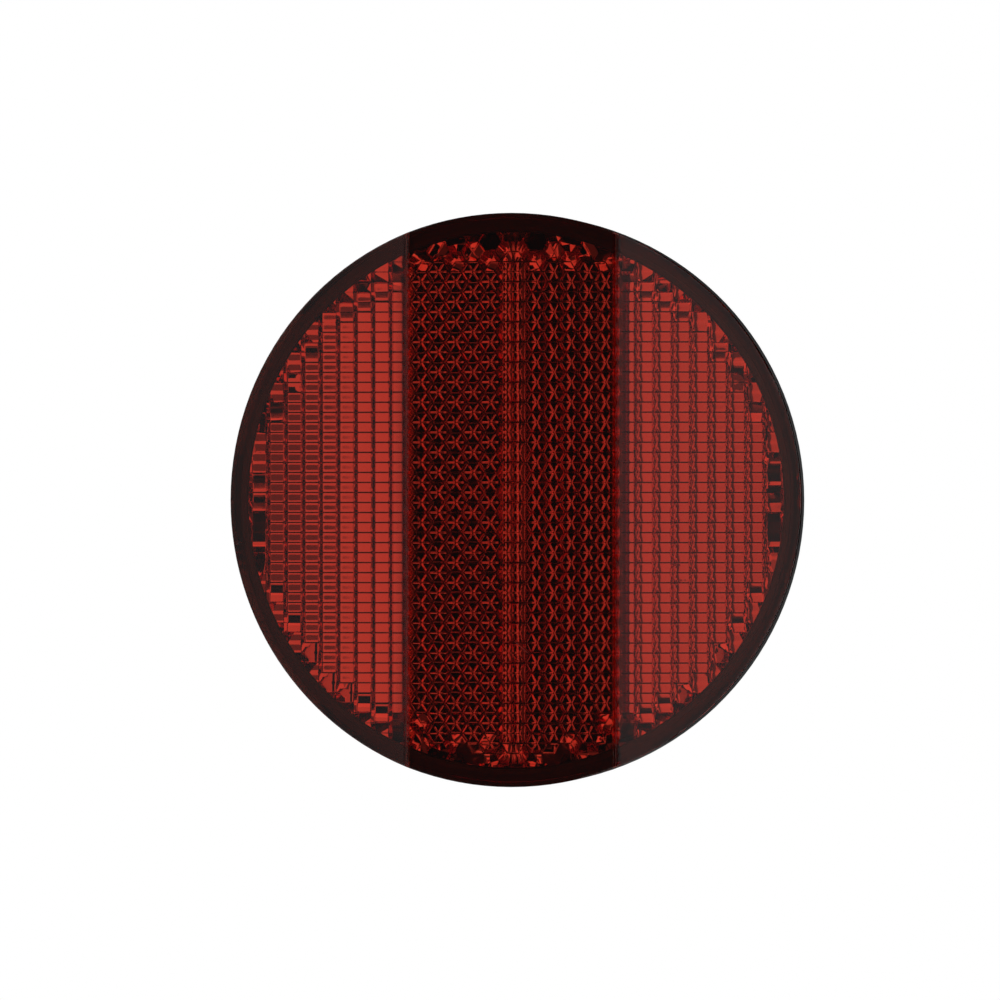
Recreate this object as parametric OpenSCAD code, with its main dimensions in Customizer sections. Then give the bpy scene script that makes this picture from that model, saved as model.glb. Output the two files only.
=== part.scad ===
// Rear reflector: a round red lens with cube-corner prisms, a black cup behind it and a stud.
// The front faces -Y and Z is up. The origin is on the stud's axis at the boss face a bracket sits on.

/* [Lens] */
// Outer diameter of the lens and the shell
lens_d = 60; // [54:1:70]
// Width of the lens's plain rim, outside the prism field
rim_w = 2; // [1.8:0.1:3]
// Distance from the boss face to the middle of the lens's front
lens_front = 15; // [14.5:0.1:18]
// Wall between the lens's flat front and the deepest notch of the centre prisms
centre_wall = 2.6; // [2:0.1:3.2]
// Depth from a side facet's front to the near ridge line of its prisms
side_wall = 3.2; // [3:0.1:3.6]
// Angle by which the two side facets fall back
facet_tilt = 14.2; // [10:0.1:18]
// Radius of the rounded fold between the flat centre and a side facet
fold_r = 1.7; // [0.5:0.1:4]

/* [Prisms] */
// Width across the flats of one hexagonal prism
prism_pitch = 2.1; // [2:0.05:2.6]
// Columns of prism tips in the flat centre, both halves together
tip_columns = 12; // [8:4:16]
// Angle by which the side prisms look outwards
side_look = 35.264; // [34:0.002:40]
// Height of the first star row above the middle
row_phase = 0.79; // [0:0.01:2.1]

/* [Back shell] */
// Distance from the boss face to the inside of the shell's back
shell_floor = 4.6; // [4.2:0.1:5]
// Gap between the prism field and the shell's wall round it
field_gap = 0.2; // [0.1:0.05:0.4]
// Thickness of the shell's back
shell_t = 1.7; // [1.4:0.1:2]
// Size of the slope round the shell's back edge
edge_slope = 1.6; // [1:0.1:2]
// Height of the tongue behind the lens's rim that is welded into the shell's groove
tongue_h = 0.5; // [0.3:0.1:0.8]
// Width of the tongue
tongue_w = 0.7; // [0.5:0.1:1]
// Gap round the tongue in its groove
weld_gap = 0.08; // [0.05:0.01:0.15]
// Diameter of the boss the stud stands on
boss_d = 15; // [13:0.5:18]
// Slope at the boss's edge, and twice that round its foot
boss_slope = 0.4; // [0.2:0.1:0.6]
// Number of ribs on the back
rib_count = 6; // [3:1:10]
// Thickness of one rib
rib_t = 1.4; // [1:0.1:2]
// Radius of the round mark that each ejector pin leaves between two ribs
mark_r = 1.8; // [1:0.1:2.5]
// Depth of an ejector mark
mark_depth = 0.2; // [0.1:0.05:0.3]

/* [Stud] */
// Diameter of the stud's threaded shank
stud_d = 5; // [4:1:6]
// How far the stud stands out of the boss
stud_out = 13.6; // [10:0.2:22]
// Slope at the stud's end
stud_chamfer = 0.6; // [0.3:0.1:0.8]
// Width across the flats of the hexagon head
head_af = 8; // [7:0.5:9]
// Height of the hexagon head
head_h = 3.5; // [2.8:0.1:3.6]
// Depth of plastic between the head and the boss face
head_cover = 2.4; // [2:0.1:2.4]
// Diameter of the plain collar that the boss grips
collar_d = 5.5; // [5.3:0.1:7]
// Gap between the moulded boss and the metal in it
insert_gap = 0.05; // [0.03:0.01:0.1]

/* [Show] */
// The sub-part to build, or all of them

/* [Hidden] */
$fn = 96;
lens_r = lens_d / 2;
field_r = lens_r - rim_w;
// one side of a prism's hexagon, the height between vertex levels and a cube's edge
hex_s = prism_pitch / sqrt(3);
level = hex_s / sqrt(2);
cube_a = prism_pitch / sqrt(2);
row_h = prism_pitch / 2;
centre_steps = 3 * tip_columns / 2;
fold_x = centre_steps * hex_s / 2;
front_y = -lens_front;
notch_y = front_y + centre_wall;
// how far the prism bodies run into the plate in front of them, and over their seams
bite = 0.4;
plate_back = 0.2;
seam_lap = 0.04;
// angle between a cube corner's axis and the face pair it shows edge on
corner = atan(1 / sqrt(2));
lean = side_look - corner;
run_dir = [cos(lean), sin(lean)];
back_dir = [-sin(lean), cos(lean)];
pin_axis = sin(corner) * run_dir - cos(corner) * back_dir;
pin_slide = prism_pitch * sqrt(3) / 2 * tan(side_look - facet_tilt);
column_step = cube_a * run_dir + row_h * back_dir + pin_slide * pin_axis;
rows_half = ceil(field_r / row_h) + 1;
rows = 2 * rows_half;
first_z = row_phase - rows_half * row_h;
columns = ceil((field_r + 0.4 - fold_x) / column_step[0]);
shell_in_y = -shell_floor;
shell_back_y = shell_in_y + shell_t;
shell_in_r = field_r + field_gap;
// the shell's back rises towards the boss by this much, and the ejector marks sit at this radius
shell_rise = 0.5;
mark_at = 0.72 * lens_r;
groove_r = (shell_in_r + lens_r) / 2;
eps = 0.01;

// y of the lens's front at a distance x from the middle
function front_at(x) = front_y + max(0, x - fold_x) * tan(facet_tilt);

// Points of the rounded fold on the +x side, from the flat to the facet
function fold_arc() =
    let (reach = fold_r * tan(facet_tilt / 2))
    [for (i = [0 : 6])
        let (a = facet_tilt * i / 6)
        [fold_x - reach + fold_r * sin(a), front_y + fold_r * (1 - cos(a))]];

// Everything behind the lens's three front facets
module behind_front() {
    right = fold_arc();
    left = [for (i = [len(right) - 1 : -1 : 0]) [-right[i][0], right[i][1]]];
    wide = lens_r + 2;
    translate([0, 0, -lens_r - 1])
        linear_extrude(height = lens_d + 2)
            polygon(concat(
                [[-wide, 0], [-wide, front_at(wide)]],
                left,
                right,
                [[wide, front_at(wide)], [wide, 0]]
            ));
}

// Everything behind the plate that carries the prisms
module behind_plate() {
    wide = lens_r + 2;
    mid_y = notch_y - plate_back;
    thin = side_wall - row_h - plate_back;
    // the plate's step lies under the first side column, clear of its edge
    step_x = fold_x + 0.3;
    translate([0, 0, -lens_r - 1])
        linear_extrude(height = lens_d + 2)
            polygon([
                [-wide, 1],
                [-wide, front_at(wide) + thin],
                [-step_x, front_at(step_x) + thin],
                [-step_x, mid_y],
                [step_x, mid_y],
                [step_x, front_at(step_x) + thin],
                [wide, front_at(wide) + thin],
                [wide, 1]
            ]);
}

// Centre prisms: vertices on rows of equilateral triangles, half a hexagon side apart across.
// Level 2 is a cube corner's tip, level 1 the far end of its ridges and level 0 a notch's bottom.
// The half with positive m is mirrored about the middle, which cuts the innermost prisms.

function lattice_level(m) = [0, 2, 1][(m + 3) % 3];
function is_node(m, j) = (abs(m) + j + rows_half) % 2 == 1;
function field_level(m, j) =
    j == 0 || j == rows ? 0
    : is_node(m, j) ? lattice_level(abs(m))
    : (lattice_level(abs(m) - 1) + lattice_level(abs(m) + 1)) / 2;
// the columns of one half that have a vertex in row j; the half's two ends always have one
function row_columns(j, lo, hi) = [for (m = [lo : hi]) if (is_node(m, j) || m == lo || m == hi) m];
function centre_vertex(m, j) =
    [m * hex_s / 2, notch_y + field_level(m, j) * level, first_z + j * row_h];

// Triangles between rows j and j + 1 of the half from column lo to column hi
function band_faces(j, lo, hi, at) =
    let (
        full_below = is_node(lo, j),
        jp = full_below ? j : j + 1,
        jq = full_below ? j + 1 : j,
        p = row_columns(jp, lo, hi),
        q = row_columns(jq, lo, hi),
        n = len(p) - 1,
        peaks = [for (i = [0 : n - 1]) [at(p[i], jp), at(p[i + 1], jp), at(q[i + 1], jq)]],
        dips = [for (i = [0 : n]) [at(p[i], jp), at(q[i + 1], jq), at(q[i], jq)]],
        faces = concat(peaks, dips)
    )
    full_below ? faces : [for (f = faces) [f[2], f[1], f[0]]];

module centre_prisms() {
    wide = centre_steps;
    per_row = 2 * wide + 1;
    n_top = (rows + 1) * per_row;
    edge_x = fold_x + seam_lap;
    top = [for (j = [0 : rows]) for (m = [-wide : wide]) centre_vertex(m, j)];
    // the outermost vertices again, carried on a little way into the side prisms
    lap = [for (s = [-1, 1]) for (j = [0 : rows])
        [s * edge_x, centre_vertex(wide, j)[1], first_z + j * row_h]];
    under = [for (s = [-1, 1]) for (j = [0 : rows])
        [s * edge_x, notch_y - bite, first_z + j * row_h]];
    at = function (m, j) j * per_row + m + wide;
    lap_l = function (j) n_top + j;
    lap_r = function (j) n_top + rows + 1 + j;
    lo_l = function (j) n_top + 2 * (rows + 1) + j;
    lo_r = function (j) n_top + 3 * (rows + 1) + j;
    skin = [for (j = [0 : rows - 1]) each
        concat(band_faces(j, -wide, 0, at), band_faces(j, 0, wide, at))];
    walls = [for (j = [0 : rows - 1]) each [
        [at(-wide, j), at(-wide, j + 1), lap_l(j + 1), lap_l(j)],
        [lap_l(j), lap_l(j + 1), lo_l(j + 1), lo_l(j)],
        [at(wide, j + 1), at(wide, j), lap_r(j), lap_r(j + 1)],
        [lap_r(j + 1), lap_r(j), lo_r(j), lo_r(j + 1)],
        [lo_l(j), lo_l(j + 1), lo_r(j + 1), lo_r(j)]
    ]];
    // one end of the block, whose row of vertices lies flat
    across = function (j) concat(
        [lap_l(j)],
        [for (m = [-wide : wide]) if (is_node(m, j) || abs(m) == wide || m == 0) at(m, j)],
        [lap_r(j)]
    );
    a = across(0);
    b = across(rows);
    ends = [
        concat([lo_l(0), lo_r(0)], [for (i = [len(a) - 1 : -1 : 0]) a[i]]),
        concat([lo_r(rows), lo_l(rows)], b)
    ];
    polyhedron(concat(top, lap, under), concat(skin, walls, ends), convexity = 10);
}

// Side prisms: columns of hexagonal pins that lean outwards, each column slid along the pins' axis
// so that their ends follow the facet. Each pin ends in a roof of two faces and one upright face.

function roof(k, j) = (j + k) % 2 == 0 ? 0 : row_h;
function wall_open(k, j) = j > 0 && j < rows && roof(k, j) == 0;
function side_start() = [fold_x, front_y + side_wall];
// the end rows are laid flat along the facet, outside the lens
function flat_point(p, j) = [p[0], side_start()[1] + (p[0] - fold_x) * tan(facet_tilt), p[2]];
function side_point(k, j, which) =
    let (
        base = side_start() + k * column_step + roof(k, j) * back_dir,
        xy = base + (which > 0 ? cube_a : 0) * run_dir + (which > 1 ? pin_slide : 0) * pin_axis,
        p = [xy[0], xy[1], first_z + j * row_h]
    )
    j == 0 || j == rows ? flat_point(p, j) : p;

module side_prisms() {
    last = columns - 1;
    per_row = 3 * columns;
    n_top = (rows + 1) * per_row;
    top = [for (j = [0 : rows]) for (k = [0 : last]) for (w = [0 : 2]) side_point(k, j, w)];
    // a column's far edge and the next column's near edge share a vertex where their roofs meet
    at = function (k, j, w)
        w == 2 && k < last && !wall_open(k, j)
            ? j * per_row + 3 * (k + 1)
            : j * per_row + 3 * k + w;
    under = front_y + side_wall - row_h - plate_back - bite;
    end_xy = side_start() + last * column_step + cube_a * run_dir;
    low_in = [for (j = [0 : rows]) [fold_x, under, first_z + j * row_h]];
    low_out = [for (j = [0 : rows])
        [end_xy[0], under + (end_xy[0] - fold_x) * tan(facet_tilt), first_z + j * row_h]];
    lo_i = function (j) n_top + j;
    lo_o = function (j) n_top + rows + 1 + j;
    roofs = [for (j = [0 : rows - 1]) for (k = [0 : last])
        [at(k, j, 0), at(k, j, 1), at(k, j + 1, 1), at(k, j + 1, 0)]];
    flanks = [for (j = [0 : rows - 1]) for (k = [0 : 1 : last - 1])
        [at(k, j, 1), at(k, j, 2), at(k, j + 1, 2), at(k, j + 1, 1)]];
    uprights = [for (j = [0 : rows - 1]) for (k = [0 : 1 : last - 1]) each
        wall_open(k, j) ? [[at(k, j, 2), at(k + 1, j, 0), at(k, j + 1, 2)]]
        : wall_open(k, j + 1) ? [[at(k, j, 2), at(k + 1, j + 1, 0), at(k, j + 1, 2)]]
        : []];
    walls = [for (j = [0 : rows - 1]) each [
        [at(0, j, 0), at(0, j + 1, 0), lo_i(j + 1), lo_i(j)],
        [at(last, j + 1, 1), at(last, j, 1), lo_o(j), lo_o(j + 1)],
        [lo_i(j), lo_i(j + 1), lo_o(j + 1), lo_o(j)]
    ]];
    // one end of the block, whose row of vertices lies flat
    across = function (j) [for (k = [0 : last]) each [at(k, j, 0), at(k, j, 1)]];
    a = across(0);
    b = across(rows);
    ends = [
        concat([lo_i(0), lo_o(0)], [for (i = [len(a) - 1 : -1 : 0]) a[i]]),
        concat([lo_o(rows), lo_i(rows)], b)
    ];
    polyhedron(concat(top, low_in, low_out), concat(roofs, flanks, uprights, walls, ends),
        convexity = 10);
}

// A cylinder along Y from y0 to y1
module bar(r, y0, y1) {
    translate([0, y0, 0])
        rotate([-90, 0, 0])
            cylinder(r = r, h = y1 - y0);
}

// A ring along Y from y0 to y1
module ring(r0, r1, y0, y1) {
    difference() {
        bar(r1, y0, y1);
        bar(r0, y0 - 1, y1 + 1);
    }
}

module field_prisms() {
    intersection() {
        union() {
            centre_prisms();
            side_prisms();
            mirror([1, 0, 0])
                side_prisms();
        }
        bar(field_r, front_y, 0);
    }
}

// The tongue of the weld, which follows the back of the plate, or its groove if there is a gap
module weld_strip(gap) {
    difference() {
        intersection() {
            ring(groove_r - tongue_w / 2 - gap, groove_r + tongue_w / 2 + gap, front_y, 0);
            translate([0, -plate_back, 0])
                behind_plate();
        }
        translate([0, tongue_h + gap, 0])
            behind_plate();
    }
}

module lens() {
    color([0.72, 0.04, 0.05])
    union() {
        difference() {
            intersection() {
                bar(lens_r, front_y - 1, 0);
                behind_front();
            }
            behind_plate();
        }
        field_prisms();
        weld_strip(0);
    }
}

// The cup turned about the stud's axis, before its wall is cut to the plate's back; its profile
// is drawn as radius and height
module shell_turned() {
    corner_slope = 0.6;
    rotate([-90, 0, 0])
        rotate_extrude()
            polygon([
                [0, shell_in_y],
                [shell_in_r - corner_slope, shell_in_y],
                [shell_in_r, shell_in_y - corner_slope],
                [shell_in_r, front_y],
                [lens_r, front_y],
                [lens_r, shell_in_y + 0.2],
                [lens_r - edge_slope, shell_back_y - 0.2],
                [lens_r - edge_slope - 0.8, shell_back_y],
                [0, shell_back_y + shell_rise]
            ]);
}

// The boss, with a slope round its foot and one at its edge
module boss() {
    foot = 2 * boss_slope;
    foot_y = shell_back_y + shell_rise * (1 - boss_d / lens_d) - 0.2;
    bar(boss_d / 2, -head_cover - head_h - 0.3, -boss_slope);
    translate([0, -boss_slope, 0])
        rotate([-90, 0, 0])
            cylinder(r1 = boss_d / 2, r2 = boss_d / 2 - boss_slope, h = boss_slope);
    translate([0, foot_y, 0])
        rotate([-90, 0, 0])
            cylinder(r1 = boss_d / 2 + foot, r2 = boss_d / 2, h = foot);
}

// One rib on the back, from the boss towards the edge
module rib() {
    rib_end = lens_r - edge_slope - 1.2;
    translate([0, 0, -rib_t / 2])
        linear_extrude(height = rib_t)
            polygon([
                [boss_d / 2 - 1, shell_back_y - 0.6],
                [rib_end, shell_back_y - 0.6],
                [rib_end, shell_back_y + 0.2],
                [boss_d / 2 - 0.5, -0.8],
                [boss_d / 2 - 1, -0.8]
            ]);
}

module back_shell() {
    head_r = head_af / 2 / cos(30) + insert_gap;
    mark_y = shell_back_y + shell_rise * (1 - mark_at / lens_r);
    color([0.05, 0.05, 0.055])
    difference() {
        union() {
            intersection() {
                shell_turned();
                behind_plate();
            }
            boss();
            for (i = [0 : rib_count - 1])
                rotate([0, 360 / rib_count * (i + 0.5), 0])
                    rib();
        }
        weld_strip(weld_gap);
        for (i = [0 : rib_count - 1])
            rotate([0, 360 / rib_count * i, 0])
                translate([mark_at, 0, 0])
                    bar(mark_r, mark_y - mark_depth, 0);
        bar(collar_d / 2 + insert_gap, -head_cover - 1, 1);
        translate([0, -head_cover - head_h - 1, 0])
            rotate([-90, 0, 0])
                cylinder(r = head_r, h = head_h + 1, $fn = 6);
    }
}

module stud() {
    head_y = -head_cover - head_h;
    // the head's corners are turned off by a 45 degree cone that starts inside its flats
    face_r = head_af / 2 - insert_gap;
    color([0.74, 0.75, 0.77])
    union() {
        intersection() {
            translate([0, head_y, 0])
                rotate([-90, 0, 0])
                    cylinder(r = head_af / 2 / cos(30), h = head_h, $fn = 6);
            translate([0, head_y, 0])
                rotate([-90, 0, 0])
                    cylinder(r1 = face_r, r2 = face_r + head_h, h = head_h);
        }
        bar(collar_d / 2, -head_cover - eps, 0);
        bar(stud_d / 2, -eps, stud_out - stud_chamfer);
        translate([0, stud_out - stud_chamfer, 0])
            rotate([-90, 0, 0])
                cylinder(r1 = stud_d / 2, r2 = stud_d / 2 - stud_chamfer, h = stud_chamfer);
    }
}

lens();
back_shell();
stud();
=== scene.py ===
# %% [markdown]
# # A round rear reflector
# The object is a red prism lens welded to a black back shell, with a threaded stud behind.
# Its CAD model is packed in millimetre-true solids, and this script dresses them.
# We load it as a fixed frame, so that every piece we make goes where the CAD says.

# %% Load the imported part
import math

import bmesh
import bpy
from mathutils import Matrix, Vector


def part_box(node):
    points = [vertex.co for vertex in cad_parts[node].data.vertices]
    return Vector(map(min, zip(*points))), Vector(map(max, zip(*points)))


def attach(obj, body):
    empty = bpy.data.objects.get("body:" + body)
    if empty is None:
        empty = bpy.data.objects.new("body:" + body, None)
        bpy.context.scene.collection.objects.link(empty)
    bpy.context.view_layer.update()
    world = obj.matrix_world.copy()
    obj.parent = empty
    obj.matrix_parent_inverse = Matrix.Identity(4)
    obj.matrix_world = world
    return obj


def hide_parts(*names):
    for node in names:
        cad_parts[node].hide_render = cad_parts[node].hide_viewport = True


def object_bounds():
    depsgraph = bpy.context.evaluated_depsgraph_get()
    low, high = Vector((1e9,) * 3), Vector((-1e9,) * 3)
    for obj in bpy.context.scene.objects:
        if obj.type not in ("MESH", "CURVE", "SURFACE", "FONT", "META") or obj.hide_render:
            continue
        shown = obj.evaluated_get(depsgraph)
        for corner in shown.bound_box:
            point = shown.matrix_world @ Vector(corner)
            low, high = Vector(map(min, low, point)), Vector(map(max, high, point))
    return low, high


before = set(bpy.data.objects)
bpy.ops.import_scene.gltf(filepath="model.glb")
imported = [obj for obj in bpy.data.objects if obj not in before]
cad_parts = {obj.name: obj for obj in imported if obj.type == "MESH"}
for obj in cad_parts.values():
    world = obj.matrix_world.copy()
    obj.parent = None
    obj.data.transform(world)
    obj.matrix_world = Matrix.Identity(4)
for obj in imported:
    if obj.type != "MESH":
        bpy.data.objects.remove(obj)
cad_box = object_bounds()
MM = 0.001
print("nodes", sorted(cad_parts), "box in mm", [tuple(round(c / MM, 2) for c in v) for v in cad_box])

# %% [markdown]
# ## The sizes we need
# Most sizes are read from the frame. Three driving sizes of the prisms come from the CAD source,
# because the finish below has to know where the flat centre ends and its slanted sides begin.

# %% Sizes
lens_low, lens_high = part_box("lens")
shell_low, shell_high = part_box("back_shell")
stud_low, stud_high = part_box("stud")
LENS_R = lens_high.x
FRONT_Y = lens_low.y
PRISM_PITCH = 2.1 * MM
TIP_COLUMNS = 12
RIM_W = 2 * MM
FOLD_X = 3 * TIP_COLUMNS / 2 * PRISM_PITCH / math.sqrt(3) / 2
FACET_TILT = math.radians(14.2)
ROW_H = PRISM_PITCH / 2
ROW_PHASE = 0.79 * MM
COLUMN_W = 1.889 * MM
print("lens radius", round(LENS_R / MM, 2), "fold at", round(FOLD_X / MM, 2))

# %% [markdown]
# ## The camera
# A long lens from a little right of the front keeps the disc almost free of perspective.
# Cube corners send light back to where it came from, so what the lens shows in its middle is
# the camera's own surroundings. Its place matters more here than on most objects.

# %% Camera
CAMERA_AZ = 5.0
FOCAL_MM = 500.0
SENSOR_MM = 36.0
FRAME_W = 105 * MM
CAMERA_GAP = FRAME_W * FOCAL_MM / SENSOR_MM
AIM = Vector((0, (FRONT_Y + 0.4 * MM) / 2, 0))

az = math.radians(CAMERA_AZ)
camera_data = bpy.data.cameras.new("camera")
camera_data.lens = FOCAL_MM
camera_data.sensor_width = SENSOR_MM
camera_data.shift_x = -0.01737
camera = bpy.data.objects.new("camera", camera_data)
camera.location = AIM + CAMERA_GAP * Vector((math.sin(az), -math.cos(az), 0))
camera.rotation_euler = (math.pi / 2, 0, az)
bpy.context.scene.collection.objects.link(camera)
bpy.context.scene.camera = camera
print("camera at", [round(c, 3) for c in camera.location])

# %% [markdown]
# Light that enters a prism is turned round by three reflections, and a stray ray by many more.
# Blender stops after four reflections unless told otherwise, which would leave prisms black.

# %% Light paths
cycles = bpy.context.scene.cycles
cycles.max_bounces = cycles.glossy_bounces = cycles.transmission_bounces = 24
print("bounces", cycles.max_bounces)

# %% [markdown]
# ## Nodes in short form
# A material is a graph of nodes. Two helpers keep the cells below short: one adds a node with its
# settings and links, and one starts a material with a Principled shader.

# %% Node helpers
def add_node(tree, kind, settings=None, **inputs):
    """Add a node, set its properties, and fill inputs with numbers or with other nodes' outputs."""
    node = tree.nodes.new(kind)
    for key, value in (settings or {}).items():
        setattr(node, key, value)
    for key, value in inputs.items():
        socket = node.inputs[int(key[2:]) if key.startswith("in") else key.replace("_", " ")]
        if isinstance(value, bpy.types.NodeSocket):
            tree.links.new(value, socket)
        else:
            socket.default_value = value
    return node


def start_material(name, **plain):
    """A Principled material; plain gives the values of its sockets, underscores for spaces."""
    material = bpy.data.materials.new(name)
    material.use_nodes = True
    tree = material.node_tree
    shader = tree.nodes["Principled BSDF"]
    for key, value in plain.items():
        shader.inputs[key.replace("_", " ")].default_value = value
    return material, tree, shader


def remap(tree, value, low, high, to_low, to_high, smooth=False):
    """Map Range from low..high to to_low..to_high."""
    settings = {"interpolation_type": "SMOOTHSTEP" if smooth else "LINEAR"}
    node = add_node(tree, "ShaderNodeMapRange", settings, Value=value)
    for key, number in zip(("From Min", "From Max", "To Min", "To Max"), (low, high, to_low, to_high)):
        node.inputs[key].default_value = number
    return node.outputs["Result"]


def noise(tree, scale, detail=2.0, roughness=0.5):
    """Noise on Object coordinates, so that it stays put on the piece."""
    place = add_node(tree, "ShaderNodeTexCoord").outputs["Object"]
    node = add_node(tree, "ShaderNodeTexNoise", Vector=place, Scale=scale, Detail=detail, Roughness=roughness)
    return node.outputs["Fac"]


print("helpers ready")

# %% [markdown]
# ## Clear red acrylic
# The lens is not painted: its colour is the light lost on the way through it. Half of the red is
# set as absorption inside, the rest as the tint of its surfaces, so it still looks red in a
# viewer that leaves absorption out. Wear is a small rise in roughness where the lens was rubbed.

# %% Lens material
def worn_line(tree, place, at, turn, length, width):
    """A soft thin mark on the lens: 1 on its line, 0 away from it."""
    moved = add_node(tree, "ShaderNodeMapping", {"vector_type": "TEXTURE"}, Vector=place)
    moved.inputs["Location"].default_value = (at[0], 0, at[1])
    moved.inputs["Rotation"].default_value = (0, math.radians(turn), 0)
    moved.inputs["Scale"].default_value = (length, 1, width)
    away = add_node(tree, "ShaderNodeVectorMath", {"operation": "LENGTH"}, in0=moved.outputs[0])
    return remap(tree, away.outputs["Value"], 0.6, 1.0, 1.0, 0.0, smooth=True)


def math_out(tree, operation, *values):
    named = {f"in{i}": value for i, value in enumerate(values)}
    return add_node(tree, "ShaderNodeMath", {"operation": operation}, **named).outputs[0]


def border(tree, value, power):
    """0 over most of a face, rising to 1 at the border where the value reaches 1."""
    return math_out(tree, "POWER", math_out(tree, "MAXIMUM", value, 0.0), power)


def past_fold(tree, spot):
    """How far outside the nearer fold a place lies, below 0 in the flat centre."""
    return math_out(tree, "SUBTRACT", math_out(tree, "ABSOLUTE", spot["X"]), FOLD_X)


def behind_front(tree, spot, out):
    """The depth of a place behind the lens's front, which slants back outside the folds."""
    slant = math_out(tree, "MULTIPLY", math_out(tree, "MAXIMUM", out, 0.0), math.tan(FACET_TILT))
    return math_out(tree, "SUBTRACT", math_out(tree, "SUBTRACT", spot["Y"], slant), FRONT_Y)


def crowned_normal(tree, spot):
    """The surface normal, turned a little near the borders of each side prism's faces."""
    out = past_fold(tree, spot)
    on_prism = math_out(tree, "GREATER_THAN", behind_front(tree, spot, out), PRISM_DEPTH)
    share = math_out(tree, "MULTIPLY", math_out(tree, "GREATER_THAN", out, FOLD_LAND), on_prism)
    column = math_out(tree, "FRACT", math_out(tree, "DIVIDE", math_out(tree, "MAXIMUM", out, 0.0), COLUMN_W))
    row = math_out(tree, "FRACT", math_out(tree, "DIVIDE", math_out(tree, "SUBTRACT", spot["Z"], ROW_PHASE), ROW_H))
    to_outer = math_out(tree, "MULTIPLY_ADD", column, 2.0, -1.0)
    to_level = math_out(tree, "ABSOLUTE", math_out(tree, "MULTIPLY_ADD", row, 2.0, -1.0))
    outer = math_out(tree, "MULTIPLY", border(tree, to_outer, 3.0), CROWN_OUTER)
    level = math_out(tree, "MULTIPLY", border(tree, to_level, 3.0), CROWN_LEVEL)
    inner = math_out(tree, "MULTIPLY", border(tree, math_out(tree, "MULTIPLY", to_outer, -1.0), 8.0), CROWN_INNER)
    slanted = math_out(tree, "MULTIPLY", math_out(tree, "GREATER_THAN", spot["X"], 0.0), math_out(tree, "ADD", row, 0.1))
    inner = math_out(tree, "MULTIPLY", inner, slanted)
    outwards = math_out(tree, "SUBTRACT", math_out(tree, "ADD", outer, level), inner)
    leftwards = math_out(tree, "MULTIPLY", outwards, math_out(tree, "SIGN", spot["X"]))
    turn = add_node(tree, "ShaderNodeCombineXYZ", X=math_out(tree, "MULTIPLY", leftwards, math_out(tree, "MULTIPLY", share, -1.0)))
    straight = add_node(tree, "ShaderNodeNewGeometry").outputs["Normal"]
    turned = add_node(tree, "ShaderNodeVectorMath", {"operation": "ADD"}, in0=straight, in1=turn.outputs[0])
    return add_node(tree, "ShaderNodeVectorMath", {"operation": "NORMALIZE"}, in0=turned.outputs[0]).outputs[0]


def fold_haze(tree, spot):
    """Extra roughness on the front just outside each fold, where the tool's polish was poor."""
    out = past_fold(tree, spot)
    near = remap(tree, out, 0.0, FOLD_HAZE_W, FOLD_HAZE, 0.0, smooth=True)
    outside = math_out(tree, "GREATER_THAN", out, 0.0)
    on_front = math_out(tree, "LESS_THAN", behind_front(tree, spot, out), PRISM_DEPTH)
    return math_out(tree, "MULTIPLY", math_out(tree, "MULTIPLY", near, outside), on_front)


WEAR_HAZE = 0.4
WEAR = [
    # place x and z, turn in degrees, half length and half width
    ((-29.1 * MM, -4.5 * MM), -35, 0.5 * MM, 0.07 * MM),
    ((1.1 * MM, -15.4 * MM), 40, 1.3 * MM, 0.08 * MM),
    ((17.0 * MM, -6.8 * MM), 10, 0.25 * MM, 0.15 * MM),
]
PRISM_DEPTH = 1.2 * MM
FOLD_LAND = 0.3 * MM
CROWN_OUTER = 0.013
CROWN_LEVEL = 0.011
CROWN_INNER = 0.4
FOLD_HAZE = 0.16
FOLD_HAZE_W = 2.2 * MM


def make_acrylic():
    material, tree, shader = start_material(
        "clear_red_acrylic",
        Base_Color=(0.94, 0.31, 0.15, 1),
        Transmission_Weight=1.0,
        IOR=1.49,
    )
    loss = add_node(tree, "ShaderNodeVolumeAbsorption", Color=(0.91, 0.09, 0.10, 1), Density=260.0)
    tree.links.new(loss.outputs[0], tree.nodes["Material Output"].inputs["Volume"])
    place = add_node(tree, "ShaderNodeTexCoord").outputs["Object"]
    spot = add_node(tree, "ShaderNodeSeparateXYZ", in0=place).outputs
    haze = remap(tree, noise(tree, 240.0, 3.0), 0.35, 0.7, 0.012, 0.03)
    haze = math_out(tree, "ADD", haze, fold_haze(tree, spot))
    for mark in WEAR:
        haze = math_out(tree, "MULTIPLY_ADD", worn_line(tree, place, *mark), WEAR_HAZE, haze)
    tree.links.new(haze, shader.inputs["Roughness"])
    tree.links.new(crowned_normal(tree, spot), shader.inputs["Normal"])
    return material


acrylic = make_acrylic()
print("made", acrylic.name)

# %% [markdown]
# ## The lens with rounded prism edges
# The CAD lens has knife edges between its prisms. A moulded one has edges rounded by about a
# tenth of a millimetre, and in a reflector these are all that you see shine: each flat face
# looks black or evenly red, and each rounded edge catches the light from the sides.
# We copy the CAD mesh, merge its loose triangles into flat faces and bevel the prism edges.

# %% Merge a CAD node's triangles
def merged_copy(node):
    """A bmesh of a CAD node with its triangles merged into whole flat faces."""
    bm = bmesh.new()
    bm.from_mesh(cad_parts[node].data)
    bmesh.ops.remove_doubles(bm, verts=bm.verts, dist=2e-4 * MM)
    bmesh.ops.dissolve_limit(bm, angle_limit=math.radians(0.6), verts=bm.verts, edges=bm.edges)
    return bm


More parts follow.
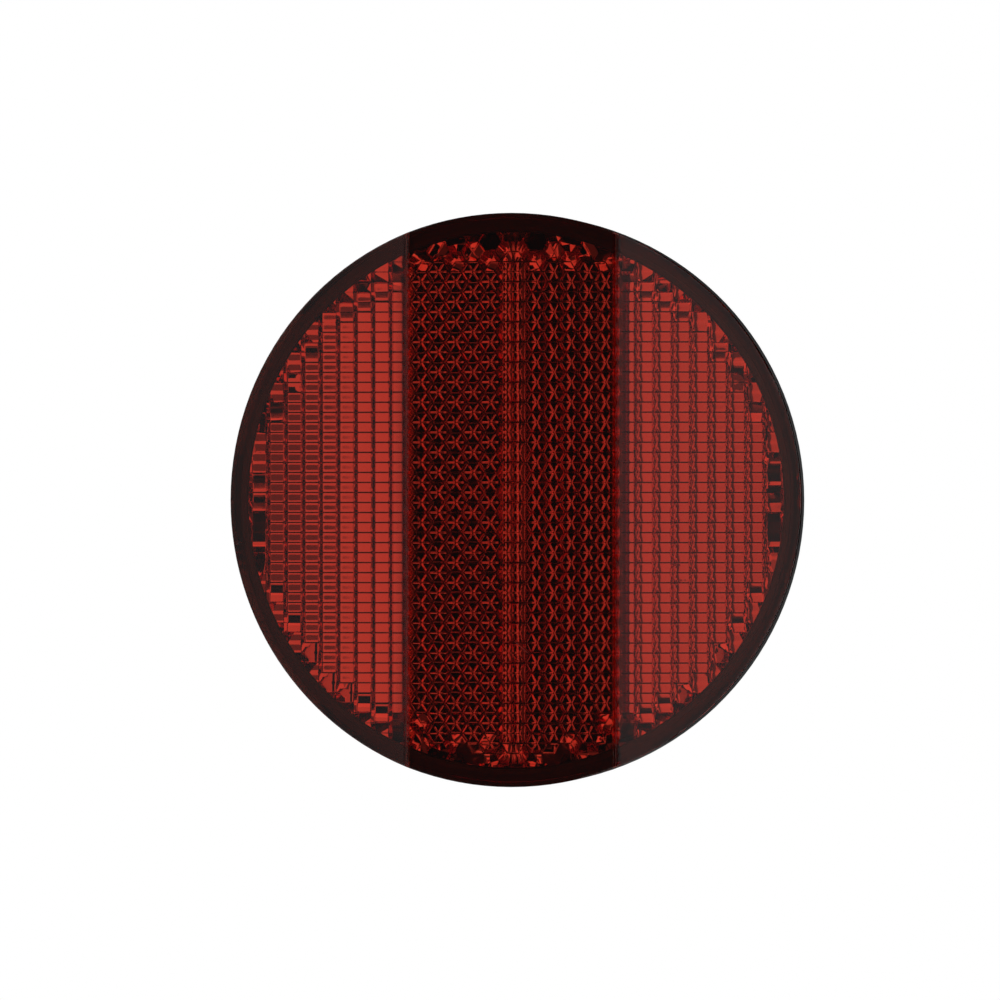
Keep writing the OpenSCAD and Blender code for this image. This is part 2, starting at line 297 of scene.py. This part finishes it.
def finished_piece(name, bm, material, crease=20.0):
    """An object from a bmesh, smooth but for edges sharper than the crease angle."""
    for face in bm.faces:
        face.smooth = True
    open_edges = sum(not edge.is_manifold for edge in bm.edges)
    mesh = bpy.data.meshes.new(name)
    bm.to_mesh(mesh)
    bm.free()
    mesh.set_sharp_from_angle(angle=math.radians(crease))
    mesh.materials.append(material)
    piece = bpy.data.objects.new(name, mesh)
    bpy.context.scene.collection.objects.link(piece)
    print(name, len(mesh.polygons), "faces,", open_edges, "open edges")
    return piece


lens_bm = merged_copy("lens")
print("lens faces after the merge", len(lens_bm.faces))

# %% [markdown]
# The seam between the flat centre's prisms and the side ones has faces too small to bevel. Two cuts
# beside each seam let every prism edge end its bevel there, on an edge of its own.

# %% Round the prism edges
CENTRE_EDGE_W = 0.18 * MM
SIDE_EDGE_W = 0.14 * MM
SEAM_CUTS = (FOLD_X - 0.12 * MM, FOLD_X + 0.25 * MM)
SHORTEST = 0.35 * MM
PRISM_R = LENS_R - RIM_W - 0.4 * MM
PRISM_Y = FRONT_Y + 1 * MM


def cut_beside_seams(bm):
    for side in (-1, 1):
        for x in SEAM_CUTS:
            everything = bm.verts[:] + bm.edges[:] + bm.faces[:]
            bmesh.ops.bisect_plane(bm, geom=everything, dist=1e-4 * MM, plane_co=(side * x, 0, 0), plane_no=(1, 0, 0))


def prism_edges(bm, centre):
    """The sharp edges of the centre's or the sides' prisms, away from the rim, seams and tiny faces."""
    inner, outer = SEAM_CUTS
    tiny = {v for f in bm.faces if min(e.calc_length() for e in f.edges) < SHORTEST for v in f.verts}
    chosen = []
    for edge in bm.edges:
        if len(edge.link_faces) != 2 or edge.calc_face_angle(0) < math.radians(12):
            continue
        on_seam = all(inner - 1e-6 < abs(v.co.x) < outer + 1e-6 for v in edge.verts)
        at_cut = [min(abs(abs(v.co.x) - x) for x in SEAM_CUTS) < 1e-6 for v in edge.verts]
        in_field = all(Vector((v.co.x, v.co.z)).length < PRISM_R and v.co.y > PRISM_Y for v in edge.verts)
        sound = all(v not in tiny or cut for v, cut in zip(edge.verts, at_cut))
        right_part = (abs(edge.verts[0].co.x + edge.verts[1].co.x) / 2 < FOLD_X) == centre
        if in_field and sound and right_part and not on_seam:
            chosen.append(edge)
    return chosen


cut_beside_seams(lens_bm)
for centre, width in ((True, CENTRE_EDGE_W), (False, SIDE_EDGE_W)):
    edges = prism_edges(lens_bm, centre)
    bmesh.ops.bevel(
        lens_bm, geom=edges, offset=width, offset_type="WIDTH", segments=3,
        profile=0.5, affect="EDGES", clamp_overlap=False,
    )
    print("rounded", len(edges), "prism edges to", round(width / MM, 2), "mm")

# %% [markdown]
# The lens's outer front edge is rounded too. It is the thin bright line round the rim.

# %% Round the rim
RIM_EDGE = 0.15 * MM


def rim_edges(bm):
    """The edges between the lens's front and its outer side."""
    outer = [e for e in bm.edges if all(Vector((v.co.x, v.co.z)).length > LENS_R - 0.05 * MM for v in e.verts)]
    return [e for e in outer if len(e.link_faces) == 2 and min(f.normal.y for f in e.link_faces) < -0.9]


edges = rim_edges(lens_bm)
bmesh.ops.bevel(
    lens_bm, geom=edges, offset=RIM_EDGE, offset_type="OFFSET", segments=3,
    profile=0.5, affect="EDGES", clamp_overlap=False,
)
for vert in lens_bm.verts:
    vert.co.y = max(vert.co.y, FRONT_Y)
print("rounded", len(edges), "rim edges")
lens = finished_piece("prism_lens", lens_bm, acrylic, crease=8.0)
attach(lens, "root")
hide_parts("lens")

# %% [markdown]
# ## Black ABS
# The back shell is moulded in a spark-eroded tool, which leaves a fine matt grain. A bump from
# small noise gives the grain, and a slower noise makes some patches a little shinier.

# %% Shell material
def make_abs():
    material, tree, shader = start_material("black_abs", Specular_IOR_Level=0.45)
    shade = add_node(tree, "ShaderNodeMix", {"data_type": "RGBA"}, in0=noise(tree, 90.0, 3.0))
    shade.inputs[6].default_value = (0.011, 0.011, 0.012, 1)
    shade.inputs[7].default_value = (0.017, 0.017, 0.018, 1)
    tree.links.new(shade.outputs[2], shader.inputs["Base Color"])
    tree.links.new(remap(tree, noise(tree, 60.0, 4.0), 0.3, 0.7, 0.42, 0.56), shader.inputs["Roughness"])
    grain = add_node(tree, "ShaderNodeBump", Height=noise(tree, 4200.0, 2.0), Strength=0.35, Distance=0.03 * MM)
    tree.links.new(grain.outputs[0], shader.inputs["Normal"])
    return material


SHELL_EDGE = 0.12 * MM
WELD_AIR = 0.02 * MM
shell_bm = merged_copy("back_shell")
wall_top = {v for f in shell_bm.faces if f.normal.y < -0.9 for v in f.verts if Vector((v.co.x, v.co.z)).length > LENS_R - RIM_W}
for vert in wall_top:
    vert.co.y += WELD_AIR
corners = [e for e in shell_bm.edges if len(e.link_faces) == 2 and e.calc_face_angle(0) > math.radians(35)]
bmesh.ops.bevel(
    shell_bm, geom=corners, offset=SHELL_EDGE, offset_type="OFFSET", segments=2,
    profile=0.5, affect="EDGES", clamp_overlap=True,
)
shell = finished_piece("moulded_shell", shell_bm, make_abs())
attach(shell, "root")
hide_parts("back_shell")

# %% [markdown]
# ## The stud's thread
# The CAD stud is a plain cylinder of the thread's outer diameter. A thread follows a rule, so a
# Geometry Nodes tree makes it: a flat grid is rolled into a tube, and each point's radius is read
# from how far it lies from the nearest crest of the helix.

# %% Thread as a node tree
def thread_tree():
    tree = bpy.data.node_groups.new("rolled_thread", "GeometryNodeTree")
    face = tree.interface
    face.new_socket("Geometry", in_out="INPUT", socket_type="NodeSocketGeometry")
    face.new_socket("Geometry", in_out="OUTPUT", socket_type="NodeSocketGeometry")
    for name in ("Radius", "Pitch", "Depth", "Length", "Chamfer"):
        face.new_socket(name, in_out="INPUT", socket_type="NodeSocketFloat")
    for name in ("Around", "Rows"):
        face.new_socket(name, in_out="INPUT", socket_type="NodeSocketInt")
    face.new_socket("Material", in_out="INPUT", socket_type="NodeSocketMaterial")
    given = tree.nodes.new("NodeGroupInput").outputs

    def math_node(operation, *values):
        named = {f"in{i}": value for i, value in enumerate(values)}
        return add_node(tree, "ShaderNodeMath", {"operation": operation}, **named).outputs[0]

    grid = add_node(
        tree, "GeometryNodeMeshGrid", Size_X=1.0, Size_Y=1.0,
        Vertices_X=given["Around"], Vertices_Y=given["Rows"],
    )
    spot = add_node(tree, "ShaderNodeSeparateXYZ", in0=add_node(tree, "GeometryNodeInputPosition").outputs[0])
    turn = math_node("ADD", spot.outputs["X"], 0.5)
    along = math_node("ADD", spot.outputs["Y"], 0.5)
    # the first and last rows stay level with their neighbours and shrink to the axis, as end faces
    rows = math_node("SUBTRACT", given["Rows"], 1.0)
    inner = math_node("DIVIDE", math_node("SUBTRACT", math_node("MULTIPLY", along, rows), 1.0), math_node("SUBTRACT", rows, 2.0))
    level = math_node("MULTIPLY", math_node("MINIMUM", math_node("MAXIMUM", inner, 0.0), 1.0), given["Length"])
    end_row = math_node("COMPARE", math_node("ABSOLUTE", spot.outputs["Y"]), 0.5, 1e-5)
    # distance from the nearest crest, as a part of the flank's run
    phase = math_node("FRACT", math_node("SUBTRACT", math_node("DIVIDE", level, given["Pitch"]), turn))
    away = math_node("MULTIPLY", math_node("ABSOLUTE", math_node("SUBTRACT", phase, 0.5)), given["Pitch"])
    crest_half = math_node("DIVIDE", given["Pitch"], 16.0)
    run = math_node("MULTIPLY", given["Depth"], math.tan(math.radians(30)))
    fall = math_node("DIVIDE", math_node("SUBTRACT", away, crest_half), run)
    fall = math_node("MINIMUM", math_node("MAXIMUM", fall, 0.0), 1.0)
    radius = math_node("SUBTRACT", given["Radius"], math_node("MULTIPLY", fall, given["Depth"]))
    cone = math_node("ADD", math_node("SUBTRACT", given["Radius"], given["Chamfer"]), math_node("SUBTRACT", given["Length"], level))
    radius = math_node("MINIMUM", radius, cone)
    radius = math_node("MULTIPLY", radius, math_node("SUBTRACT", 1.0, end_row))
    angle = math_node("MULTIPLY", turn, 2 * math.pi)
    place = add_node(
        tree, "ShaderNodeCombineXYZ",
        X=math_node("MULTIPLY", radius, math_node("SINE", angle)),
        Y=level,
        Z=math_node("MULTIPLY", radius, math_node("COSINE", angle)),
    )
    rolled = add_node(tree, "GeometryNodeSetPosition", Geometry=grid.outputs["Mesh"], Position=place.outputs[0])
    closed = add_node(tree, "GeometryNodeMergeByDistance", Geometry=rolled.outputs[0], Distance=1e-4 * MM)
    real = add_node(tree, "GeometryNodeRealizeInstances", Geometry=closed.outputs[0])
    coated = add_node(tree, "GeometryNodeSetMaterial", Geometry=real.outputs[0], Material=given["Material"])
    tree.links.new(coated.outputs[0], tree.nodes.new("NodeGroupOutput").inputs[0])
    return tree


def mesh_from_nodes(name, tree, **values):
    """Run a node tree on an empty object and return its result as a plain mesh."""
    holder = bpy.data.objects.new(name, bpy.data.meshes.new(name))
    bpy.context.scene.collection.objects.link(holder)
    modifier = holder.modifiers.new("nodes", "NODES")
    modifier.node_group = tree
    for item in tree.interface.items_tree:
        if item.in_out == "INPUT" and item.name in values:
            modifier[item.identifier] = values[item.name]
    seen = holder.evaluated_get(bpy.context.evaluated_depsgraph_get())
    mesh = bpy.data.meshes.new_from_object(seen)
    bpy.data.objects.remove(holder)
    return mesh


print("thread tree ready")

# %% [markdown]
# ## Zinc plate
# The stud is steel with a thin bright zinc coat: a metal with a faint blue and yellow drift of
# colour from its passivation, and a grain too fine to see but enough to soften reflections.

# %% Stud with its thread
def make_zinc():
    material, tree, shader = start_material("zinc_plate", Metallic=1.0)
    tone = add_node(tree, "ShaderNodeMix", {"data_type": "RGBA"}, in0=remap(tree, noise(tree, 180.0, 3.0), 0.35, 0.65, 0, 1))
    tone.inputs[6].default_value = (0.60, 0.62, 0.66, 1)
    tone.inputs[7].default_value = (0.68, 0.66, 0.60, 1)
    tree.links.new(tone.outputs[2], shader.inputs["Base Color"])
    tree.links.new(remap(tree, noise(tree, 900.0, 4.0), 0.3, 0.7, 0.24, 0.42), shader.inputs["Roughness"])
    grain = add_node(tree, "ShaderNodeBump", Height=noise(tree, 6000.0, 2.0), Strength=0.25, Distance=0.01 * MM)
    tree.links.new(grain.outputs[0], shader.inputs["Normal"])
    return material


STUD_R = 2.5 * MM
THREAD_PITCH = 0.8 * MM
THREAD_DEPTH = 0.6134 * THREAD_PITCH
STUD_CHAMFER = 0.6 * MM
AROUND = 56
ROWS_PER_TURN = 14
zinc = make_zinc()
stud_out = stud_high.y
rows = round(stud_out / THREAD_PITCH * ROWS_PER_TURN)
thread = mesh_from_nodes(
    "thread", thread_tree(), Radius=STUD_R, Pitch=THREAD_PITCH, Depth=THREAD_DEPTH,
    Length=stud_out, Chamfer=STUD_CHAMFER, Around=AROUND + 1, Rows=rows, Material=zinc,
)
print("thread of", round(stud_out / THREAD_PITCH, 1), "turns,", len(thread.polygons), "faces")

# %% [markdown]
# The head and the collar keep their CAD shape. The plain shank is cut off at the boss face, the cut
# is closed, and the thread takes its place.

# %% Join the thread to the head
def head_and_collar():
    bm = merged_copy("stud")
    cut_y = 0.02 * MM
    everything = bm.verts[:] + bm.edges[:] + bm.faces[:]
    bmesh.ops.bisect_plane(bm, geom=everything, plane_co=(0, cut_y, 0), plane_no=(0, 1, 0), clear_outer=True)
    rim = [edge for edge in bm.edges if edge.is_boundary]
    bmesh.ops.edgeloop_fill(bm, edges=rim)
    return bm


stud_bm = head_and_collar()
stud_bm.from_mesh(thread)
bmesh.ops.recalc_face_normals(stud_bm, faces=stud_bm.faces[:])
stud = finished_piece("threaded_stud", stud_bm, zinc, crease=40.0)
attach(stud, "root")
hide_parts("stud")

# %% [markdown]
# ## A light tent
# The lens shows its surroundings, so we build them as a photographer would: pale glowing walls to
# the left and right of a dark slot for the camera, and a dim room beyond. All of it is one dome in
# front of the lens, flattened where it meets the floor. Reflections and light through the lens
# see it, the camera does not. Azimuth 0 is straight in front of the lens.

# %% The tent's zones
TENT_R = 0.8
FLOOR_Z = cad_box[0].z - 40 * MM
ROOM_GLOW = 0.12
WALLS = [
    # azimuth from and to, elevation from and to, brightness; the first that holds a direction counts
    (-60, -25, -10, 10, 0.28),
    (-60, -25, -60, 60, 0.62),
    (-25, -20.3, -60, 60, 0.56),
    (-20.3, -18.3, -60, 60, 0.49),
    (-18.3, -17.6, -60, 60, 0.46),
    (-17.6, -16.3, -60, 60, 0.40),
    (-16.3, -13, -60, 60, 0.10),
    (-13, 1, -60, 60, 0.06),
    (1, 5.8, -60, 60, 0.0),
    (5.8, 7.4, -60, 60, 0.12),
    (7.4, 10, -60, 60, 0.54),
    (10, 21, -18, 18, 0.0),
    (21, 60, -10, 10, 0.42),
    (10, 60, -60, 60, 0.72),
    (-180, -165, -40, 40, 0.0),
    (150, 180, -40, 40, 0.0),
    (-180, -100, -90, 90, 0.5),
    (100, 180, -90, 90, 0.5),
]


def glow(level):
    material = bpy.data.materials.new("glow_%03d" % round(100 * level))
    material.use_nodes = True
    tree = material.node_tree
    tree.nodes.remove(tree.nodes["Principled BSDF"])
    light = add_node(tree, "ShaderNodeEmission", Color=(1, 1, 1, 1), Strength=level)
    tree.links.new(light.outputs[0], tree.nodes["Material Output"].inputs["Surface"])
    return material


def wall_glow(azimuth, elevation):
    """Brightness of the tent in a direction, in degrees."""
    for left, right, low, high, level in WALLS:
        if left <= azimuth < right and low <= elevation < high:
            return level
    return ROOM_GLOW


def dome_point(azimuth, elevation):
    """A point of the dome, or of the floor under it."""
    a, e = math.radians(azimuth), math.radians(elevation)
    way = Vector((math.sin(a) * math.cos(e), -math.cos(a) * math.cos(e), math.sin(e)))
    above_floor = FLOOR_Z + 1 * MM
    return way * (TENT_R if TENT_R * way.z > above_floor else above_floor / way.z)


def steps(marks, widest):
    """Angles from the first mark to the last, at every mark and at most widest apart."""
    out = [marks[0]]
    for start, end in zip(marks, marks[1:]):
        n = math.ceil((end - start) / widest)
        out += [start + (end - start) * (i + 1) / n for i in range(n)]
    return out


def make_tent():
    azimuths = steps(sorted({edge for wall in WALLS for edge in wall[:2]}), 5)
    elevations = steps(sorted({-89, -5, 89} | {edge for wall in WALLS for edge in wall[2:4] if abs(edge) < 89}), 5)
    levels = sorted({ROOM_GLOW, *(wall[4] for wall in WALLS)})
    verts = [dome_point(a, e) for a in azimuths for e in elevations]
    n = len(elevations)
    faces, shades = [], []
    for i in range(len(azimuths) - 1):
        for j in range(n - 1):
            faces.append((i * n + j, i * n + j + 1, (i + 1) * n + j + 1, (i + 1) * n + j))
            middle = (azimuths[i] + azimuths[i + 1]) / 2, (elevations[j] + elevations[j + 1]) / 2
            shades.append(levels.index(wall_glow(*middle)))
    mesh = bpy.data.meshes.new("light_tent")
    mesh.from_pydata(verts, [], faces)
    for level in levels:
        mesh.materials.append(glow(level))
    mesh.polygons.foreach_set("material_index", shades)
    tent = bpy.data.objects.new("light_tent", mesh)
    tent.visible_camera = tent.visible_diffuse = tent.visible_shadow = False
    bpy.context.scene.collection.objects.link(tent)
    print("tent of", len(faces), "panels, levels", levels)


make_tent()

# %% [markdown]
# ## World and floor
# The background is white to the camera, to gloss and to light through the lens. Plain diffuse
# light from it is a little lower, so that colours come out as they are written.

# %% World
SKY_LEVEL = 0.75


def seen_rays(tree):
    """1 for rays from the camera, from gloss and through clear material, else 0."""
    ray = add_node(tree, "ShaderNodeLightPath").outputs
    shiny = add_node(tree, "ShaderNodeMath", {"operation": "MAXIMUM"}, in0=ray["Is Glossy Ray"], in1=ray["Is Transmission Ray"])
    either = add_node(tree, "ShaderNodeMath", {"operation": "MAXIMUM"}, in0=ray["Is Camera Ray"], in1=shiny.outputs[0])
    return either.outputs[0]


world = bpy.data.worlds.new("studio")
bpy.context.scene.world = world
world.use_nodes = True
sky = world.node_tree
level = add_node(sky, "ShaderNodeMix", {"data_type": "RGBA"}, in0=seen_rays(sky))
level.inputs[6].default_value = (SKY_LEVEL, SKY_LEVEL, SKY_LEVEL, 1)
level.inputs[7].default_value = (1, 1, 1, 1)
sky.links.new(level.outputs[2], sky.nodes["Background"].inputs["Color"])
print("sky level", SKY_LEVEL)

# %% [markdown]
# The reflector is held by its stud, so it hangs above the floor. The floor is a large pale disc
# that keeps the soft shadow near the object and fades to the white background away from it.

# %% Floor
FLOOR_R = 3.0
FADE_FROM = 60 * MM
FADE_TO = 160 * MM


def make_floor_material():
    material, tree, shader = start_material("pale_floor", Roughness=0.9, Specular_IOR_Level=0.1)
    shader.inputs["Base Color"].default_value = (0.86, 0.86, 0.86, 1)
    place = add_node(tree, "ShaderNodeTexCoord").outputs["Object"]
    away = add_node(tree, "ShaderNodeVectorMath", {"operation": "LENGTH"}, in0=place).outputs["Value"]
    far = remap(tree, away, FADE_FROM, FADE_TO, 0, 1, smooth=True)
    both = add_node(tree, "ShaderNodeMath", {"operation": "MULTIPLY"}, in0=far, in1=seen_rays(tree)).outputs[0]
    white = add_node(tree, "ShaderNodeEmission", Color=(1, 1, 1, 1), Strength=1.0)
    mix = add_node(tree, "ShaderNodeMixShader", in0=both, in1=shader.outputs[0], in2=white.outputs[0])
    tree.links.new(mix.outputs[0], tree.nodes["Material Output"].inputs["Surface"])
    return material


floor_bm = bmesh.new()
bmesh.ops.create_circle(floor_bm, cap_ends=True, radius=FLOOR_R, segments=96)
floor_mesh = bpy.data.meshes.new("floor")
floor_bm.to_mesh(floor_mesh)
floor_bm.free()
floor_mesh.transform(Matrix.Translation((0, 0, FLOOR_Z)))
floor_mesh.materials.append(make_floor_material())
floor = bpy.data.objects.new("floor", floor_mesh)
bpy.context.scene.collection.objects.link(floor)
print("floor at", round(floor_mesh.vertices[0].co.z / MM, 1), "mm")

# %% [markdown]
# ## One soft lamp
# A large lamp above and to the left shapes the back shell and the stud in the other views.

# %% Lamp
LAMP_SIZE = 0.8
LAMP_POWER = 3.0
LAMP_PLACE = Vector((-0.7, 0.35, 1.1))
lamp_data = bpy.data.lights.new("softbox", "AREA")
lamp_data.size = LAMP_SIZE
lamp_data.energy = LAMP_POWER
lamp = bpy.data.objects.new("softbox", lamp_data)
lamp.location = LAMP_PLACE
lamp.rotation_euler = (-LAMP_PLACE).to_track_quat("-Z", "Y").to_euler()
bpy.context.scene.collection.objects.link(lamp)

# %% [markdown]
# ## Finish
# The colours are shown as they are, with the Standard view.

# %% Finish
bpy.context.scene.view_settings.view_transform = "Standard"
